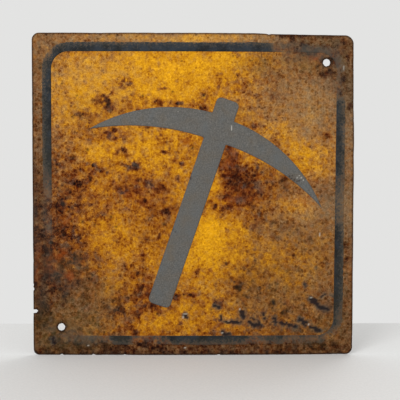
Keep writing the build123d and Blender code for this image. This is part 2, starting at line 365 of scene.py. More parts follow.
# single dark pits: (x, z, radius)
PITS = (
    (-165, 140, 1.5), (-72, 140, 1.6), (-30, 146, 1.5), (-173, 126, 1.3), (-171, 111, 1.6), (-157, 114, 1.2),
    (-122, 128, 2.2), (-114, 94, 1.8), (-92, 96, 1.6), (-65, 95, 1.8), (-171, 52, 2.8), (-150, 64, 2.0),
    (-2, 67, 1.9), (-186, 157, 1.4), (-210, 184, 2.2), (-217, 179, 1.8), (-217, 208, 1.8), (-119, 226, 1.8),
    (-108, 225, 1.8), (-208, 226, 2.2), (-212, 85, 2.0), (-221, 68, 2.0), (-192, 10, 1.8), (-186, 13, 1.6),
    (-225, 52, 1.8), (14, 141, 2.4), (10, 124, 1.8), (125, 223, 1.8), (3, 226, 1.4), (182, -1, 1.6),
    (203, -20, 1.6), (-158, -38, 1.9), (-110, -45, 1.7), (-117, -31, 1.8), (-140, -42, 1.4), (-42, -41, 2.4),
    (-216, -50, 1.6), (-173, -37, 1.4), (-152, -173, 1.4), (-165, -125, 2.0), (-137, -162, 1.6),
    (-52, -169, 1.6), (-127, -196, 1.6), (-14, -142, 1.4), (143, -86, 1.7), (219, -91, 1.8),
    (212, -104, 1.6), (107, -206, 2.2), (62, -131, 2.6), (112, -161, 1.3), (46, -96, 1.6), (-213, -216, 1.8),
    (-201, -215, 1.4), (-225, -127, 3.0), (-209, -118, 2.0), (-200, -203, 1.6), (-198, -210, 2.0),
    (-206, -206, 1.2), (-24, -210, 1.6), (-52, -216, 1.6), (226, 126, 2.0), (152, 212, 1.8),
    (216, -170, 1.6), (-193, -45, 1.4), (-206, -62, 1.4), (-178, -23, 1.4), (-203, -18, 1.4),
    (66, -131, 1.4), (25, -163, 1.4), (134, -56, 1.6), (206, -56, 1.8), (175, 122, 1.4), (82, 190, 1.2),
    (55, 196, 1.2), (-17, 189, 1.1), (213, 222, 1.8), (209, 178, 1.2), (-129, 175, 1.0), (-104, 198, 1.2),
)
# where the enamel has sprung off and bared a black undercoat: (start x, z, end x, z, half width)
CHIPS = (
    (39, -173, 40, -177, 1.5), (44, -180, 52, -182, 1.3), (54, -180, 60, -181, 2.5),
    (60, -181, 67, -181, 2.7), (69, -167, 71, -172, 3.6), (82, -176, 88, -177, 2.0),
    (81, -181, 84, -185, 2.8), (88, -186, 95, -186, 3.0), (93, -180, 94, -184, 1.4),
    (99, -166, 100, -171, 1.6), (101, -176, 104, -174, 1.5), (115, -176, 117, -176, 1.9),
    (113, -181, 124, -183, 1.7), (124, -183, 137, -185, 2.6), (137, -186, 145, -188, 1.9),
    (153, -178, 160, -182, 2.8), (156, -184, 160, -186, 1.7), (166, -187, 169, -190, 1.8),
    (174, -192, 181, -194, 3.0), (167, -149, 175, -151, 2.1), (168, -153, 172, -155, 1.7),
    (175, -155, 181, -160, 2.7), (181, -160, 192, -164, 2.4), (44, -199, 50, -199, 2.6),
    (41, -195, 42, -195, 1.8), (31, -158, 36, -160, 2.2), (113, -152, 115, -155, 1.8),
    (-13, -171, -10, -174, 2.4), (182, -146, 187, -142, 0.5), (187, -142, 193, -141, 0.5),
    (193, -141, 199, -145, 0.5), (-204, -206, -198, -205, 0.9), (-201, -211, -197, -211, 1.2),
    (158, -127, 160, -129, 1.6),
)
# where a scratch shows pale, and painted highlights where light catches a lifted flake edge: (x, z, half
# width, half height)
PALE_FLECKS_AND_HIGHLIGHTS = (
    (213, 181, 1.0, 3.2), (66, -162.5, 1.3, 1.3), (165, -185, 1.3, 1.2), (-12, -169, 3.2, 0.9),
    (-15, -174, 1.0, 2.2), (-12, -218, 1.6, 1.2), (180, -56, 0.9, 2.4), (-203, 82, 1.0, 3.0),
    (41, -196.5, 1.2, 0.9), (168, -146.5, 1.6, 0.8), (-150, -215, 1.2, 1.0), (50, -179.2, 2.0, 0.7),
)
FILM_SCUFFS = (
    (53.5, 95, 0.7, 3.4), (147, 25, 1.0, 0.8), (153, 25, 0.9, 0.9), (156, 21.5, 0.8, 1.0),
    (150, 28, 0.7, 0.7), (-22, 118, 0.5, 0.5),
)
# dark soil and rust caught on the film: (x, z, radius)
FILM_SOIL = (
    (136, 27, 1.6), (139, 24, 1.5), (143, 22, 1.7), (147, 20, 1.5), (133, 24, 1.2), (140, 28, 1.2),
    (-5, 24, 2.2), (-30, -48, 1.6), (-26, -52, 1.0), (150, 21, 1.2),
)
# how far the border has faded along each side: (place along the side, per cent lost)
FADE_TOP = (
    (-228, 40), (-195, 10), (-150, 2), (-60, -5), (0, -15), (60, -15), (95, -5), (108, 15), (118, 62),
    (128, 95), (140, 75), (160, 50), (185, 62), (205, 50), (228, 70),
)
FADE_RIGHT = (
    (-228, 70), (-190, 30), (-150, 5), (-115, -20), (-80, -15), (-50, 16), (-15, 38), (10, 34), (40, 10),
    (80, 12), (110, 5), (132, 20), (142, 70), (160, 85), (185, 55), (205, 55), (228, 75),
)
FADE_BOTTOM = (
    (-228, 100), (-170, 80), (-150, 60), (-122, 50), (-112, -10), (-95, -10), (-84, 50), (-60, 55),
    (-40, 30), (-30, -5), (10, -10), (45, -5), (70, 10), (80, 35), (110, 30), (122, 10), (140, 35),
    (185, 42), (228, 90),
)
FADE_LEFT = (
    (-228, 100), (-60, 100), (-40, 60), (-20, 95), (-8, 80), (15, 35), (50, 12), (75, 0), (110, -10),
    (150, 6), (190, 12), (228, 45),
)


def drift(x, z):
    """Points pushed about a little, so that no mark keeps a smooth round edge."""
    pushed = []
    for along, seed in ((x, 21), (z, 23)):
        pushed.append(along + (5.0 * cloud(x, z, 26.0, seed, 3) + 1.6 * cloud(x, z, 6.0, seed + 1, 2)))
    return pushed


def chip_depth(x, z):
    """1 where the enamel has come off in flakes, and a fainter halo where it is about to."""
    away = np.full_like(x, 1e3)
    for *run, half_width in CHIPS:
        away = np.minimum(away, distance_to_run(x, z, *run) - half_width)
    away = away + 1.7 * cloud(x, z, 5.0, 31, 3, 0.8) + 1.5 * cloud(x, z, 3.2, 33, 1)
    halo = (1 - step_up(away, 0.2, 4.2)) * np.clip(0.55 + 0.9 * cloud(x, z, 9.0, 32, 2), 0, 1)
    return 1 - step_up(away, -0.9, 0.7), halo


def pits_at(x, z, pits):
    """1 in the middle of each small round mark, (x, z, radius)."""
    deep = np.zeros_like(x)
    for pit_x, pit_z, radius in pits:
        away = np.hypot(x - pit_x, z - pit_z) / radius
        deep = np.maximum(deep, np.exp(-away**2))
    return deep


def marks_left(x, z, marks):
    """1 on each small mark, (x, z, half width, half height), with a crisp edge."""
    left = np.zeros_like(x)
    for mark_x, mark_z, half_width, half_height in marks:
        away = np.hypot((x - mark_x) / half_width, (z - mark_z) / half_height)
        left = np.maximum(left, 1 - step_up(away, 0.6, 1.4))
    return left


# the rust level and the dust that the whole face has, and how much more its margin has
FACE_RUST, MARGIN_RUST = 0.42, 0.12
FACE_DUST, MARGIN_DUST = 0.05, 0.45
# how far in from each edge its rim of rust and painted edge shade is full, and how far in it ends
RIM_START, RIM_END = 0.6, 3.4


def weather(x, z):
    """How the panel has aged at each point, as named marks from 0 to 1."""
    moved = drift(x, z)
    ring = np.maximum(np.abs(x), np.abs(z))
    margin = step_up(ring, BAND_INNER + 2, BAND_OUTER - 1)
    # the dust marks are real dust, and over the bent upper-right corner also painted light
    ground, blooms, dust = (soft_marks(*moved, marks) for marks in (RUST_GROUND, RUST_BLOOMS, DUST_AND_BEND_LIGHT))
    rust = FACE_RUST + MARGIN_RUST * margin + soft_marks(*moved, CLEAN_PAINT) + ground
    # rusted ground is the roughest, dust calms it, and the blooms break up into specks
    rusted = step_up(ground + blooms, 0.05, 0.35)
    calm = 1 - 0.65 * step_up(dust, 0.15, 0.7)
    rust += 0.11 * cloud(x, z, 30.0, 41, 3)
    rust += (0.11 + 0.16 * rusted) * calm * cloud(x, z, 8.0, 42, 2, 0.9)
    speckle = np.maximum(cloud(x, z, 5.5, 43, 1) + 0.15, 0)
    rust += blooms * (0.35 + 1.3 * speckle) + 0.20 * speckle * step_up(ground + blooms, 0.05, 0.4)
    dust = FACE_DUST + MARGIN_DUST * margin + dust + 0.12 * cloud(x, z, 22.0, 44, 4)
    chips, halo = chip_depth(x, z)
    aged = {
        "rust": rust,
        "dust": dust - 0.5 * np.clip(blooms, 0, 0.4),
        "chips": chips,
        "halo": halo,
        "pits": pits_at(x, z, PITS),
        # the rim mark darkens a band along each edge: rust on the edge, and painted shade of the edge as well
        "rim": 1 - step_up(-panel_edge(x, z), RIM_START, RIM_END),
        # pale flecks: scratches, and painted highlights on lifted flake edges
        "flecks": marks_left(x, z, PALE_FLECKS_AND_HIGHLIGHTS),
    }
    for label, marks, steady, patchy, size, seed in (
        ("embers", EMBERS, 0.6, 1.0, 5.0, 45), ("grey", GREY_PATCHES, 0.75, 0.7, 7.0, 46),
        ("algae", ALGAE, 0.9, 0.6, 12.0, 47),
    ):
        aged[label] = soft_marks(*moved, marks) * (steady + patchy * cloud(x, z, size, seed, 3))
    return {label: np.clip(values, 0, 1) for label, values in aged.items()}


def border_fade(x, z):
    """0 where the border is sound and 1 where it has gone."""
    along_x = np.abs(x) < np.abs(z)
    fade = np.zeros_like(x)
    for here, along, stops in (
        (along_x & (z > 0), x, FADE_TOP), (~along_x & (x > 0), z, FADE_RIGHT),
        (along_x & (z <= 0), x, FADE_BOTTOM), (~along_x & (x <= 0), z, FADE_LEFT),
    ):
        fade = np.where(here, np.interp(along, *zip(*stops)), fade)
    return np.clip(fade / 100 + 0.22 * cloud(x, z, 14.0, 51, 4, 0.7), 0, 1)


# ---- the shape of the sheet and of its surfaces

# the sheet is bowed from side to side: how deep, and what share of it stands out in front
BOW, BOW_IN_FRONT = 4.4, 0.62
# the upper right corner is bent back past a slanting crease: where x + z reaches it, how far beyond
# it the bend starts and ends, and how far back the corner goes
CREASE, BEND_START, BEND_END, CORNER_BACK = 296.0, -8.0, 120.0, 4.6
DENTS = 0.5
# heights and depths on the weathered face
GRIT_HEIGHT, SCAB_HEIGHT, CHIP_LIP = 0.16, 0.10, 0.30
PIT_DEPTH, CHIP_DEPTH, RIM_DEPTH = 0.34, 0.22, 0.35


def warp(x, z):
    """How far the sheet has bent out of its plane, along +Y."""
    bow = BOW * ((x / HALF_WIDTH) ** 2 - BOW_IN_FRONT)
    past_crease = np.maximum((x + z - CREASE) / math.sqrt(2), 0)
    corner = CORNER_BACK * step_up(past_crease, BEND_START, BEND_END)
    return bow + corner + DENTS * cloud(x, z, 120.0, 61, 2)


def face_relief(x, z, aged):
    """Height of the weathered face above the clean paint, outwards from the panel."""
    rusted = aged["rust"] ** 1.5
    relief = GRIT_HEIGHT * rusted * (0.5 + cloud(x, z, 4.5, 71, 2, 0.8))
    relief += SCAB_HEIGHT * rusted * cloud(x, z, 12.0, 72, 3)
    relief -= PIT_DEPTH * aged["pits"] + CHIP_DEPTH * aged["chips"]
    relief += CHIP_LIP * step_up(aged["chips"], 0.02, 0.3) * (1 - step_up(aged["chips"], 0.3, 0.9))
    return relief - RIM_DEPTH * aged["rim"] ** 2


# ---- making sheets: a fine grid, trimmed to an outline

# a grid point nearer to the outline than this share of the spacing is moved onto it
SNAP_SHARE = 0.61
# a face smaller than this share of a whole one has been flattened or turned over by the trimming
SMALLEST_SHARE = 0.2
# a plain hidden side follows the bend of the sheet with one point in this many, this far inside
SPARSE_STEP, SPARSE_INSET = 8, 5


def doubled_area(x, z, a, b, c, d):
    """Twice the signed area between the run from a to b and the run from c to d."""
    return (x[b] - x[a]) * (z[d] - z[c]) - (z[b] - z[a]) * (x[d] - x[c])


def trimmed_grid(edge, low, high, spacing):
    """Points and faces of a flat grid, trimmed so that its rim lies exactly on the outline."""
    columns, rows = (int(round((high[i] - low[i]) / spacing)) + 1 for i in (0, 1))
    x, z = np.meshgrid(np.linspace(low[0], high[0], columns), np.linspace(low[1], high[1], rows))
    x, z = x.ravel(), z.ravel()
    nudge = 0.02
    for _ in range(3):
        away = edge(x, z)
        near = np.abs(away) < SNAP_SHARE * spacing
        slope_x = (edge(x + nudge, z) - edge(x - nudge, z)) / (2 * nudge)
        slope_z = (edge(x, z + nudge) - edge(x, z - nudge)) / (2 * nudge)
        steep = np.maximum(np.hypot(slope_x, slope_z), 0.5) ** 2
        x = np.where(near, x - away * slope_x / steep, x)
        z = np.where(near, z - away * slope_z / steep, z)
    inside = edge(x, z) < 0.05
    corner = (np.arange(rows - 1)[:, None] * columns + np.arange(columns - 1)[None, :]).ravel()
    quads = np.stack([corner, corner + 1, corner + 1 + columns, corner + columns], 1)
    kept = inside[quads].sum(1)
    smallest = SMALLEST_SHARE * spacing**2
    a, b, c, d = quads.T
    faces = [tuple(quad) for quad in quads[(kept == 4) & (doubled_area(x, z, a, c, b, d) / 2 > smallest)]]
    for quad in quads[kept == 3]:
        a, b, c = (point for point in quad if inside[point])
        if doubled_area(x, z, a, b, a, c) > smallest:
            faces.append((a, b, c))
    used = np.unique(np.concatenate([np.array(face) for face in faces]))
    renumber = np.full(len(x), -1)
    renumber[used] = np.arange(len(used))
    return x[used], z[used], [tuple(renumber[list(face)].tolist()) for face in faces]


def rim_edges(faces):
    """The edges that only one face uses, in that face's direction."""
    edges = {edge: None for face in faces for edge in zip(face, face[1:] + face[:1])}
    return [(start, end) for start, end in edges if (end, start) not in edges]


def inward(x, z, rim, rim_points):
    """The direction into the sheet at each point of its rim."""
    into = np.zeros((len(x), 2))
    for start, end in rim:
        run_x, run_z = x[end] - x[start], z[end] - z[start]
        into[[start, end]] += np.array((-run_z, run_x)) / (math.hypot(run_x, run_z) or 1.0)
    into = into[rim_points].T
    return into / np.maximum(np.hypot(*into), 1e-9)


def close_hidden_side(x, z, loops, inner, outline):
    """Triangles that close a sheet's hidden side, from its rim and its holes to a few inner points."""
    used = sorted({point for edge in loops for point in edge} | set(inner))
    order = {point: place for place, point in enumerate(used)}
    flat = [Vector((x[point], z[point])) for point in used]
    edges = [(order[start], order[end]) for start, end in loops]
    filled = delaunay_2d_cdt(flat, edges, [], INSIDE_WITH_HOLES, 1e-7)
    used_x, used_z = x[used], z[used]
    names = []
    for place, source in zip(filled[0], filled[3]):
        # a point that the fill has added, where the rim touches itself, takes the point beside it
        nearest = source[0] if source else int(np.argmin(np.hypot(used_x - place[0], used_z - place[1])))
        names.append(used[nearest])
    faces = [tuple(names[corner] for corner in face) for face in filled[2]]
    faces = [face for face in faces if len(set(face)) == 3]
    # the fill can leave a few triangles across a hole, and these go
    middle = np.array([(x[list(face)].mean(), z[list(face)].mean()) for face in faces])
    across_gap = outline(middle[:, 0], middle[:, 1]) > 0.6
    return [face for face, gap in zip(faces, across_gap) if not gap]


def facing(x, z, faces, direction_y):
    """The same faces, each turned so that it looks along -Y or +Y."""
    turned = []
    for face in faces:
        a, b, c = face[:3]
        right_way = doubled_area(z, x, a, b, a, c) * direction_y > 0
        turned.append(face if right_way else tuple(reversed(face)))
    return turned


def inner_points(x, z, rim_points, outline, low, spacing, all_of_them):
    """The points of a hidden side within its rim: all of them, or a few that keep it on the bend."""
    inner = sorted(set(range(len(x))) - set(rim_points))
    if all_of_them:
        return inner
    column, row = np.rint((x - low[0]) / spacing), np.rint((z - low[1]) / spacing)
    sparse = (column % SPARSE_STEP == 0) & (row % SPARSE_STEP == 0) & (outline(x, z) < -SPARSE_INSET)
    return [point for point in inner if sparse[point]]


def add_piece(name, points, faces):
    """A piece of the scene from points in metres and faces."""
    mesh = bpy.data.meshes.new(name)
    mesh.from_pydata(points, [], faces)
    mesh.update()
    piece = bpy.data.objects.new(name, mesh)
    bpy.context.scene.collection.objects.link(piece)
    return piece


def make_sheet(name, outline, box, spacing, seen, hidden, rim_steps, looks=-1, extra=None, fine_hidden=False):
    """A closed sheet: a fine shaped side that is seen, a rounded rim, and a hidden side.

    seen and hidden give y for arrays of (x, z, what has aged); rim_steps are (share of the
    thickness, how far the rim stands in, or out where it is below 0); looks is -1 for a face along
    -Y and 1 for one along +Y; extra gives more marks for the material; fine_hidden makes the
    hidden side as fine as the seen one.
    """
    x, z, faces = trimmed_grid(outline, *box, spacing)
    faces = facing(x, z, faces, looks)
    aged = weather(x, z)
    if extra:
        aged.update(extra(x, z))
    seen_y, hidden_y = (side(x, z, aged) + warp(x, z) for side in (seen, hidden))
    rim = rim_edges(faces)
    rim_points = sorted({point for edge in rim for point in edge})
    into_x, into_z = inward(x, z, rim, rim_points)
    points = [np.stack([x, seen_y, z], 1)]
    seen_faces = list(faces)
    count = len(x)
    above = {point: point for point in rim_points}
    for share, stand_in in rim_steps:
        depth = seen_y[rim_points] + share * (hidden_y[rim_points] - seen_y[rim_points])
        into = -looks * stand_in
        points.append(np.stack([x[rim_points] + into * into_x, depth, z[rim_points] + into * into_z], 1))
        below = {point: count + place for place, point in enumerate(rim_points)}
        count += len(rim_points)
        faces += [(above[end], above[start], below[start], below[end]) for start, end in rim]
        above = below
    inner = inner_points(x, z, rim_points, outline, box[0], spacing, fine_hidden)
    above.update((point, count + place) for place, point in enumerate(inner))
    points.append(np.stack([x[inner], hidden_y[inner], z[inner]], 1))
    points = np.concatenate(points)
    if fine_hidden:
        faces += [tuple(above[point] for point in reversed(face)) for face in seen_faces]
    else:
        loops = [(above[start], above[end]) for start, end in rim]
        hidden_x, hidden_z = points[:, 0], points[:, 2]
        closing = close_hidden_side(hidden_x, hidden_z, loops, [above[point] for point in inner], outline)
        faces += facing(hidden_x, hidden_z, closing, -looks)
    piece = add_piece(name, (points * MM).tolist(), faces)
    for label, values in aged.items():
        layer = piece.data.attributes.new(label, "FLOAT", "POINT")
        values = np.concatenate([values] + [values[rim_points]] * len(rim_steps) + [values[inner]])
        layer.data.foreach_set("value", values.astype(np.float32))
    piece.data.polygons.foreach_set("use_smooth", [True] * len(faces))
    return piece


# ---- materials


def hex_colour(code):
    """A linear colour with alpha from an sRGB hex code."""
    channels = [int(code[i:i + 2], 16) / 255 for i in (1, 3, 5)]
    return tuple(c / 12.92 if c <= 0.04045 else ((c + 0.055) / 1.055) ** 2.4 for c in channels) + (1.0,)


def add(nodes, kind, *inputs, out=None, stops=None, **settings):
    """Adds one node with its settings and links, and gives one of its outputs.

    The inputs go to the node's sockets in turn: those of a MapRange are a pattern, the range it
    comes from and the range it goes to. A setting goes to the socket of that name, or else to the
    node itself. An output is linked and a hex code is a colour. stops are the (level, hex code)
    pairs of a colour ramp.
    """
    node = nodes.new("ShaderNode" + kind)
    sockets = {socket.identifier.replace(" ", "_"): socket for socket in node.inputs}
    filled = list(zip(node.inputs, inputs))
    for name, value in settings.items():
        if name in sockets:
            filled.append((sockets[name], value))
        else:
            setattr(node, name, value)
    for socket, value in filled:
        if isinstance(value, bpy.types.NodeSocket):
            nodes.id_data.links.new(value, socket)
        else:
            socket.default_value = hex_colour(value) if isinstance(value, str) else value
    if stops:
        ramp = node.color_ramp.elements
        for stop, (level, code) in ((ramp[1], stops[-1]), (ramp[0], stops[0])):
            stop.position, stop.color = level, hex_colour(code)
        for level, code in stops[1:-1]:
            ramp.new(level).color = hex_colour(code)
    given = {socket.identifier: socket for socket in node.outputs}
    return given[out] if out else next(iter(given.values()), None)


def new_material(name):
    """An empty material, and the nodes to fill it with."""
    material = bpy.data.materials.new(name)
    material.use_nodes = True
    material.node_tree.nodes.clear()
    return material, material.node_tree.nodes


def finish(nodes, colour, height=None, depth=None, **shine):
    """The shader and the output of a material, with texture of the given depth where it has any."""
    if depth:
        shine["Normal"] = add(nodes, "Bump", Strength=1.0, Distance=depth * MM, Height=height)
    shader = add(nodes, "BsdfPrincipled", Base_Color=colour, **shine)
    add(nodes, "OutputMaterial", Surface=shader)


def per_metre(size):
    """The scale of a pattern whose lumps lie `size` millimetres apart."""
    return 1 / (size * MM)


def summed(nodes, start, patterns):
    """A start value or pattern with others added to it, each by its share."""
    for share, pattern in patterns:
        start = add(nodes, "Math", pattern, share, start, operation="MULTIPLY_ADD")
    return start


def stain(nodes, colour, over, pattern, low=0.0, high=1.0, share=1.0):
    """A colour with another laid over it, more and more as a pattern or a named mark rises."""
    if isinstance(pattern, str):
        pattern = add(nodes, "Attribute", attribute_name=pattern, out="Fac")
    amount = add(nodes, "MapRange", pattern, low, high, 0.0, share)
    return add(nodes, "Mix", data_type="RGBA", Factor_Float=amount, A_Color=colour, B_Color=over,
               out="Result_Color")


# how far apart the lumps of each pattern lie. Rust grit and the mottle of cast film are finer than
# 1 mm in life: they are drawn as coarse as they need to be to show.
GRIT, GRAIN, MOTTLE, PINHOLES, RUST_SPOTS, DUST_DRIFTS = 1.5, 3.2, 8.0, 4.2, 8.0, 6.0
PAINT_TONES, FILM_MOTTLE, FILM_TINTS, ROLLER_PEEL = 14.0, 1.6, 22.0, 3.0
STEEL_GRAIN, STEEL_BLOTCHES = 5.0, 60.0
# the swirls that stir the face's patterns: how far apart they lie and how far they push
SWIRLS, SWIRL_PUSH = 5.0, 3.0

# enamel over rust, from sound paint to deep rust, where it is clean and where it is dusty
CLEAN_LEVELS = (
    (0.0, "#E6A104"), (0.12, "#D69404"), (0.25, "#C48206"), (0.38, "#AE6D0A"), (0.5, "#985A0E"),
    (0.6, "#854A0E"), (0.7, "#723B0C"), (0.8, "#5E2D08"), (0.9, "#481F06"), (1.0, "#301404"),
)
DUSTY_LEVELS = (
    (0.0, "#C09A50"), (0.12, "#B08C50"), (0.25, "#A07E4E"), (0.38, "#90704A"), (0.5, "#806344"),
    (0.6, "#72563A"), (0.7, "#644A2E"), (0.8, "#563B22"), (0.9, "#442A16"), (1.0, "#321B0C"),
)
# the black undercoat that shows through in cold patches and fresh rust in warm ones: (size, share, colour)
PATCHES = ((11.0, 0.5, "#4A463E"), (8.0, 0.30, "#964A12"))
# what lies over the rust and the paint, from the bottom up: (mark, share, colour)
FACE_STAINS = (
    ("algae", 0.28, "#685C2A"), ("embers", 0.55, "#A54A12"), ("grey", 0.62, "#454640"),
    ("halo", 0.75, "#524C42"), ("chips", 0.95, "#221C1D"), ("pits", 0.92, "#1E0C07"),
    # the flecks are pale scratches and also painted highlights on lifted flake edges
    # the rim stain is rust along the edges and also painted shade of the edges
    ("rim", 0.85, "#2A1A10"), ("flecks", 0.8, "#BDB3A4"),
)


def rust_spots(nodes, place, spacing, crowding):
    """Round spots about `spacing` apart, more of them and larger where crowding is higher."""
    away, luck = (
        add(nodes, "TexVoronoi", Vector=place, Scale=per_metre(spacing), Randomness=1.0, out=out)
        for out in ("Distance", "Color"))
    luck = add(nodes, "SeparateColor", luck, out="Red")
    luck = add(nodes, "Math", luck, 2.0, operation="POWER")
    reach = add(nodes, "Math", luck, crowding, operation="MULTIPLY")
    depth = add(nodes, "Math", reach, away, operation="SUBTRACT")
    return add(nodes, "MapRange", depth, -0.10, 0.12, interpolation_type="SMOOTHSTEP")


def lighten_evenly(nodes, colour, amount):
    """The colour made lighter or darker by an amount that looks the same on light and dark colours."""
    evened = add(nodes, "Gamma", colour, 1 / 2.2)
    evened = add(nodes, "Mix", data_type="RGBA", blend_type="ADD", clamp_result=True, Factor_Float=1.0,
                 A_Color=evened, B_Color=amount, out="Result_Color")
    return add(nodes, "Gamma", evened, 2.2)


def face_patterns(nodes):
    """Where the face is, plain and stirred, and the patterns that its rust is made of."""
    place = add(nodes, "TexCoord", out="Object")
    swirls = add(nodes, "TexNoise", Vector=place, Scale=per_metre(SWIRLS), Detail=1.0, out="Color")
    swirls = add(nodes, "VectorMath", swirls, (0.5,) * 3, operation="SUBTRACT")
    stirred = add(nodes, "VectorMath", swirls, (SWIRL_PUSH * MM,) * 3, place, operation="MULTIPLY_ADD")
    grit, grain, mottle = (
        add(nodes, "TexNoise", Vector=where, Scale=per_metre(size), Detail=detail, Roughness=0.6)
        for where, size, detail in ((place, GRIT, 1.0), (stirred, GRAIN, 1.0), (stirred, MOTTLE, 2.0)))
    rust = add(nodes, "Attribute", attribute_name="rust", out="Fac")
    crowding = add(nodes, "MapRange", rust, 0.1, 0.75, 0.34, 0.92)
    pinholes, spots = (rust_spots(nodes, stirred, size, crowding) for size in (PINHOLES, RUST_SPOTS))
    return place, stirred, rust, grit, grain, mottle, pinholes, spots


def weathered_face(nodes):
    """The rust, dust and paint of the face: its colour, its rust level, the height of its grit and its
    two finest patterns."""
    place, stirred, rust, grit, grain, mottle, pinholes, spots = face_patterns(nodes)
    texture = summed(nodes, -0.385, (
        (0.12, grit), (0.20, grain), (0.38, mottle), (0.08, pinholes), (0.12, spots)))
    # dust fills the texture and calms it
    # this mark is dust, and over the bent upper-right corner also painted light
    settled = add(nodes, "Attribute", attribute_name="dust", out="Fac")
    calm = add(nodes, "MapRange", settled, 0.25, 0.85, 1.0, 0.3)
    level = add(nodes, "Math", texture, calm, rust, operation="MULTIPLY_ADD", use_clamp=True)
    clean, dusty = (add(nodes, "ValToRGB", level, stops=levels) for levels in (CLEAN_LEVELS, DUSTY_LEVELS))
    drifts = add(nodes, "TexNoise", Vector=place, Scale=per_metre(DUST_DRIFTS), Detail=3.0)
    dust = summed(nodes, settled, ((1.5, drifts),))
    dust = add(nodes, "Math", dust, 0.75, operation="SUBTRACT", use_clamp=True)
    # sound paint sheds some of it
    held = add(nodes, "MapRange", level, 0.05, 0.4, 0.3)
    dust = add(nodes, "Math", dust, held, operation="MULTIPLY")
    colour = stain(nodes, clean, dusty, dust)
    undusted = add(nodes, "MapRange", settled, 0.2, 0.8, 1.0, 0.3)
    rusted = add(nodes, "MapRange", level, 0.25, 0.6)
    for size, share, code in PATCHES:
        patches = add(nodes, "TexNoise", Vector=stirred, Scale=per_metre(size), Detail=2.0)
        patches = add(nodes, "MapRange", patches, 0.52, 0.70, 0.0, share)
        patches = add(nodes, "Math", patches, rusted, operation="MULTIPLY")
        patches = add(nodes, "Math", patches, undusted, operation="MULTIPLY")
        colour = stain(nodes, colour, code, patches)
    # the finest grit makes lights and darks of one colour
    speckle = summed(nodes, 0.228, ((-0.24, grit), (-0.19, grain), (-0.07, pinholes)))
    colour = lighten_evenly(nodes, colour, speckle)
    for mark, share, code in FACE_STAINS:
        colour = stain(nodes, colour, code, mark, share=share)
    height = add(nodes, "Math", grit, grain, operation="ADD")
    height = add(nodes, "Math", height, level, operation="MULTIPLY")
    return colour, level, height, grit, grain


def enamel_over_rust():
    """Yellow stoving enamel, sprayed and baked, now chalky and bled through by rust.

    The sound paint keeps a low sheen; the rusted ground is dull and gritty. Rust and chalk scatter
    nearly all of their shine, so little of it is left.
    """
    material, nodes = new_material("rusted_yellow_enamel")
    colour, level, height, *_ = weathered_face(nodes)
    rough = add(nodes, "MapRange", level, 0.1, 0.6, 0.55, 0.92)
    finish(nodes, colour, height, 0.3, Roughness=rough, Specular_IOR_Level=0.12)
    return material


def border_paint():
    """Blue-black border, screen printed and worn thin: dull and uneven, with the rust and dust of the
    ground showing through, and a brown wash over it where that ground is rusty."""
    material, nodes = new_material("worn_black_border_paint")
    ground, _, height, grit, grain = weathered_face(nodes)
    place = add(nodes, "TexCoord", out="Object")
    faded = add(nodes, "Attribute", attribute_name="fade", out="Fac")
    wear = summed(nodes, faded, ((0.8, grain), (0.5, grit)))
    wear = add(nodes, "Math", wear, 0.68, operation="SUBTRACT", use_clamp=True)
    tone = add(nodes, "TexNoise", Vector=place, Scale=per_metre(PAINT_TONES), Detail=3.0)
    colour = add(nodes, "ValToRGB", tone, stops=((0.35, "#1A1C1E"), (0.65, "#2D333A")))
    # the brown wash, the grey of thin paint, and the ground where the paint has gone
    colour = stain(nodes, colour, "#292417", "rust", 0.38, 0.68, 0.75)
    colour = stain(nodes, colour, "#56524A", wear, 0.05, 0.5, 0.7)
    colour = stain(nodes, colour, ground, wear, 0.25, 0.9)
    rough = add(nodes, "Math", wear, 0.3, 0.58, operation="MULTIPLY_ADD")
    finish(nodes, colour, height, 0.15, Roughness=rough, Specular_IOR_Level=0.15)
    return material


def symbol_film():
    """Grey vinyl film, cast and matt, with a fine even mottle and a few scuffs."""
    material, nodes = new_material("grey_vinyl_film")
    place = add(nodes, "TexCoord", out="Object")
    fine = add(nodes, "TexNoise", Vector=place, Scale=per_metre(FILM_MOTTLE), Detail=2.0, Roughness=0.7)
    broad = add(nodes, "TexNoise", Vector=place, Scale=per_metre(FILM_TINTS), Detail=3.0)
    colour = add(nodes, "ValToRGB", fine, stops=((0.25, "#4C4A47"), (0.5, "#605E5A"), (0.75, "#77746F")))
    # browner and bluer in broad patches, then soiled, darker along the edge, and scuffed
    colour = stain(nodes, colour, "#6A5D4C", broad, 0.52, 0.68, 0.40)
    colour = stain(nodes, colour, "#5E6569", broad, 0.48, 0.32, 0.35)
    colour = stain(nodes, colour, "#2A1B12", "soil", share=0.9)
    colour = stain(nodes, colour, "#C4C0B7", "flecks", share=0.85)
    finish(nodes, colour, fine, 0.05, Roughness=0.62, Specular_IOR_Level=0.2)
    return material


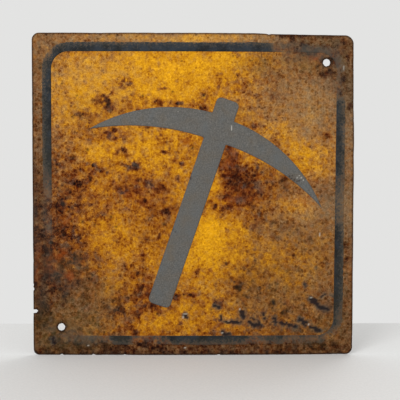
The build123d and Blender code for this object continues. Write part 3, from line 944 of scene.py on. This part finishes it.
def rusted_steel():
    """Mild steel sheet, hot rolled, rusted right through its blue-grey mill scale; dull and gritty."""
    material, nodes = new_material("rusted_mild_steel")
    place = add(nodes, "TexCoord", out="Object")
    grit, grain, broad = (
        add(nodes, "TexNoise", Vector=place, Scale=per_metre(size), Detail=detail, Roughness=rough)
        for size, detail, rough in ((GRIT, 2.0, 0.7), (STEEL_GRAIN, 4.0, 0.65), (STEEL_BLOTCHES, 4.0, 0.6)))
    level = summed(nodes, broad, ((0.8, grain), (0.5, grit)))
    level = add(nodes, "Math", level, 0.65, operation="SUBTRACT", use_clamp=True)
    rust = add(nodes, "ValToRGB", level, stops=(
        (0.1, "#26180F"), (0.35, "#462C1B"), (0.5, "#643F24"), (0.65, "#7D502C"), (0.85, "#926033"),
        (1.0, "#A37643")))
    scale = add(nodes, "ValToRGB", level, stops=((0.2, "#2B2826"), (0.5, "#46423F"), (0.8, "#6A625B")))
    left = add(nodes, "Attribute", attribute_name="scale", out="Fac")
    colour = stain(nodes, rust, scale, summed(nodes, left, ((0.9, grain),)), 0.75, 1.05)
    # a dark band along each edge: edge rust, and painted shade of the edge as well
    colour = stain(nodes, colour, "#2A1A10", "rim", share=0.7)
    height = add(nodes, "Math", grit, grain, operation="ADD")
    finish(nodes, colour, height, 0.35, Roughness=0.9, Specular_IOR_Level=0.15)
    return material


def pale_floor():
    """Pale floor paint, rolled on, smooth and matt, with the faint peel that a roller leaves."""
    material, nodes = new_material("pale_floor_paint")
    place = add(nodes, "TexCoord", out="Object")
    peel = add(nodes, "TexNoise", Vector=place, Scale=per_metre(ROLLER_PEEL), Detail=2.0)
    colour = add(nodes, "ValToRGB", peel, stops=((0.3, "#D2D2D1"), (0.7, "#D8D8D7")))
    finish(nodes, colour, Roughness=0.8)
    return material


# ---- the pieces

# how far apart the mesh points of each piece lie
ENAMEL_GRID, STEEL_GRID, BAND_GRID, FILM_GRID = 1.52, 2.04, 1.05, 1.1
PANEL_BOX = (-HALF_WIDTH, -HALF_HEIGHT), (HALF_WIDTH, HALF_HEIGHT)
# room for the border's ragged edge, and for the film's outline
BAND_ROOM, FILM_ROOM = 4, 3
# the y where the enamel with its rust ends and the steel that is left behind it begins
STEEL_FRONT = -1.05
ROUNDED_RIM = ((0.3, -0.04), (1.0, -0.04))
# how far the border and the film stand off the clean paint, and how far they and their rims sink in
BAND_THICK, FILM_THICK, SUNK = 0.10, 0.26, 0.05
# the film presses most of the grit under it flat
PRESSED = 0.8
# the strip of the back that a post has kept dry, and the rings where two washers sat: half the width
# of the strip, the inner and the outer radius of the rings, and how softly each fades out
POST_HALF, POST_SOFT = 30.0, 4.0
WASHER_INNER, WASHER_OUTER, WASHER_SOFT = 10, 16, 1
# heights and depths on the back
FINE_SCABS, BROAD_SCABS, BACK_PITS, BACK_RIM = 0.10, 0.10, 0.5, 0.45
# the outer side of the border has worn back where it has faded, and unevenly everywhere; above a fade
# of BAND_GONE it has come off, and the hole grows by HOLE_GROWTH from there to a fade 1 higher
WORN_BACK, UNEVEN = 1.0, 1.1
BAND_GONE, HOLE_GROWTH = 0.93, 30.0
# rain fades the outer side of the border, and more along the foot: how much, and how far below the
# middle that begins and is full
WASHED, FOOT_WASHED, FOOT_BEGINS, FOOT_FULL = 0.36, 0.20, 150, 200


def finish_piece(piece, material, node):
    """Gives the piece its finish and puts it on the panel's body in the place of its CAD node."""
    piece.data.materials.append(material)
    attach(piece, "root")
    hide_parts(node)


def flat(y):
    """A plain hidden side at this depth."""
    return lambda x, z, aged: np.full_like(x, y)


def enamel_front(x, z, aged):
    """The weathered face, pressed nearly flat where the film lies on it."""
    under_film = step_up(-pick_edge(x, z), -1.0, 0.5)
    return FACE_Y - face_relief(x, z, aged) * (1 - PRESSED * under_film)


def make_enamel():
    """The yellow enamel and the rust scale that has grown through it."""
    piece = make_sheet("weathered_enamel", panel_edge, PANEL_BOX, ENAMEL_GRID, enamel_front,
                       flat(STEEL_FRONT), ROUNDED_RIM)
    finish_piece(piece, enamel_over_rust(), "yellow_coat")


def back_scale(x, z):
    """How much mill scale is left on the back: most of it where the post kept the rain off."""
    across_post = (x - z) / math.sqrt(2)
    across_post = np.abs(across_post + 3 * cloud(x, z, 30.0, 85, 2))
    sheltered = 1 - step_up(across_post, POST_HALF - POST_SOFT, POST_HALF + POST_SOFT)
    washer = np.zeros_like(x)
    for end in (1, -1):
        away = np.hypot(x - end * HOLE_RUN, z - end * HOLE_RUN)
        past_inner, past_outer = (
            step_up(away, radius - WASHER_SOFT, radius + WASHER_SOFT)
            for radius in (WASHER_INNER, WASHER_OUTER))
        washer = np.maximum(washer, past_inner * (1 - past_outer))
    scale = 0.24 + 0.18 * sheltered + 0.30 * cloud(x, z, 70.0, 86, 4) - 0.4 * washer
    return {"scale": np.clip(scale, 0, 1)}


def steel_back(x, z, aged):
    """The back of the steel, with its scabs of rust and its pits."""
    scabs = FINE_SCABS * cloud(x, z, 6.0, 81, 3, 0.7) + BROAD_SCABS * cloud(x, z, 30.0, 82, 3)
    pitted = np.maximum(cloud(x, z, 7.0, 83, 2) - 0.25, 0)
    return scabs - BACK_PITS * pitted - BACK_RIM * aged["rim"] ** 2


def make_steel():
    """The steel blank, seen from behind and along its edges."""
    piece = make_sheet("rusted_steel_panel", panel_edge, PANEL_BOX, STEEL_GRID, steel_back,
                       flat(STEEL_FRONT), ROUNDED_RIM, looks=1, extra=back_scale)
    finish_piece(piece, rusted_steel(), "sign_plate")


def worn_band(x, z):
    """What is left of the border: crisp inside, ragged outside, and open where it has gone."""
    inner, outer = band_ring(x, z)
    fade = border_fade(x, z)
    ragged = outer + WORN_BACK * fade + UNEVEN * cloud(x, z, 7.0, 91, 3, 0.7)
    gone = (fade - BAND_GONE) * HOLE_GROWTH
    return np.maximum(np.maximum(ragged, -inner), gone)


def band_wear(x, z):
    """The border wears from its outer side, which stands in the rain, and most along its foot."""
    from_outside = np.clip(-band_ring(x, z)[1] / BAND_WIDTH, 0, 1)
    washed = WASHED + FOOT_WASHED * step_up(-z, FOOT_BEGINS, FOOT_FULL)
    return {"fade": np.clip(border_fade(x, z) + washed * (1 - from_outside) ** 1.6, 0, 1)}


def make_border():
    """The border band, printed thin over the enamel, which it follows."""
    reach = BAND_OUTER + BAND_ROOM
    piece = make_sheet("worn_border_band", worn_band, ((-reach, -reach), (reach, reach)), BAND_GRID,
                       lambda x, z, aged: enamel_front(x, z, aged) - BAND_THICK,
                       lambda x, z, aged: enamel_front(x, z, aged) + SUNK, ((1.0, 0.0),),
                       extra=band_wear, fine_hidden=True)
    finish_piece(piece, border_paint(), "border_band")


def film_marks(x, z):
    """Soil and scuffs on the film, and a darker line along its edge."""
    soil = pits_at(x, z, FILM_SOIL)
    dark_edge_line = 0.35 * (1 - step_up(-pick_edge(x, z), 0.0, 1.6))
    return {"soil": np.maximum(soil, dark_edge_line), "flecks": marks_left(x, z, FILM_SCUFFS)}


def film_front(x, z, aged):
    """The film drapes over the grit below it, so its face is never quite flat."""
    drape = 0.05 * cloud(x, z, 9.0, 95, 3) + 0.03 * cloud(x, z, 3.0, 96, 1)
    edge_dip = SUNK * (1 - step_up(-pick_edge(x, z), 0.0, 1.5))
    return FACE_Y - FILM_THICK - drape + edge_dip


def make_film():
    """The pickaxe, cut from film and stuck over the enamel."""
    box = [(corner.x + room, corner.z + room)
           for corner, room in ((film_low, -FILM_ROOM), (film_high, FILM_ROOM))]
    piece = make_sheet("pick_symbol_film", pick_edge, box, FILM_GRID, film_front, flat(FACE_Y + SUNK),
                       ROUNDED_RIM, extra=film_marks, fine_hidden=True)
    finish_piece(piece, symbol_film(), "pick_symbol")


make_steel()
make_enamel()
make_border()
make_film()

# ---- floor, light and camera, in metres

# the floor slab runs from far in front of the panel to just behind it
FLOOR_SIDE, FLOOR_FRONT, FLOOR_BACK, FLOOR_THICK = 6.0, -6.0, 0.21, 0.02
# the camera looks almost square on, from a little above and to the left of the middle
CAMERA_AIM = Vector((0.0090, 0.0, -0.0069))
CAMERA_DISTANCE, VIEW_WIDTH = 1.0, 0.56948
AZIMUTH, ELEVATION, ROLL = (math.radians(angle) for angle in (0.83, 2.04, 0.10))
# the soft boxes: (name, place, size, watts)
SOFT_BOXES = (("key", (-0.9, -1.6, 1.7), 0.9, 26.0), ("back_fill", (1.2, 1.6, 1.2), 1.2, 12.0))


def make_floor():
    """A pale floor slab: the panel stands near its far edge."""
    top = plate_low.z * MM
    outline = ((-FLOOR_SIDE, FLOOR_FRONT), (FLOOR_SIDE, FLOOR_FRONT), (FLOOR_SIDE, FLOOR_BACK),
               (-FLOOR_SIDE, FLOOR_BACK))
    corners = [(x, y, z) for z in (top, top - FLOOR_THICK) for x, y in outline]
    faces = [(0, 1, 2, 3), (7, 6, 5, 4), (0, 4, 5, 1), (1, 5, 6, 2), (2, 6, 7, 3), (3, 7, 4, 0)]
    floor = add_piece("floor", corners, faces)
    floor.data.materials.append(pale_floor())


def hang(name, data, place, turn):
    """Puts a lamp or a camera at its place, turned as given."""
    holder = bpy.data.objects.new(name, data)
    holder.location = place
    holder.rotation_mode = "QUATERNION"
    holder.rotation_quaternion = turn
    bpy.context.scene.collection.objects.link(holder)
    return holder


def make_studio():
    """Soft boxes aimed at the middle of the panel, in a pale surrounding."""
    world = bpy.data.worlds.new("pale_studio")
    world.use_nodes = True
    sky = world.node_tree.nodes["Background"]
    sky.inputs["Color"].default_value = hex_colour("#E3E3E2")
    sky.inputs["Strength"].default_value = 1.0
    bpy.context.scene.world = world
    bpy.context.scene.view_settings.view_transform = "Standard"
    for name, place, size, watts in SOFT_BOXES:
        lamp = bpy.data.lights.new(name, "AREA")
        lamp.shape, lamp.size, lamp.energy = "SQUARE", size, watts
        hang(name, lamp, Vector(place), (-Vector(place)).to_track_quat("-Z", "Y"))


def make_camera():
    """The camera, with a lens that takes in VIEW_WIDTH at the panel."""
    level = math.cos(ELEVATION)
    ahead = Vector((math.sin(AZIMUTH) * level, math.cos(AZIMUTH) * level, -math.sin(ELEVATION)))
    camera = bpy.data.cameras.new("camera")
    camera.sensor_width = 36.0
    camera.lens = camera.sensor_width * CAMERA_DISTANCE / VIEW_WIDTH
    turn = ahead.to_track_quat("-Z", "Y") @ Quaternion((0, 0, 1), ROLL)
    bpy.context.scene.camera = hang("camera", camera, CAMERA_AIM - CAMERA_DISTANCE * ahead, turn)


make_floor()
make_studio()
make_camera()
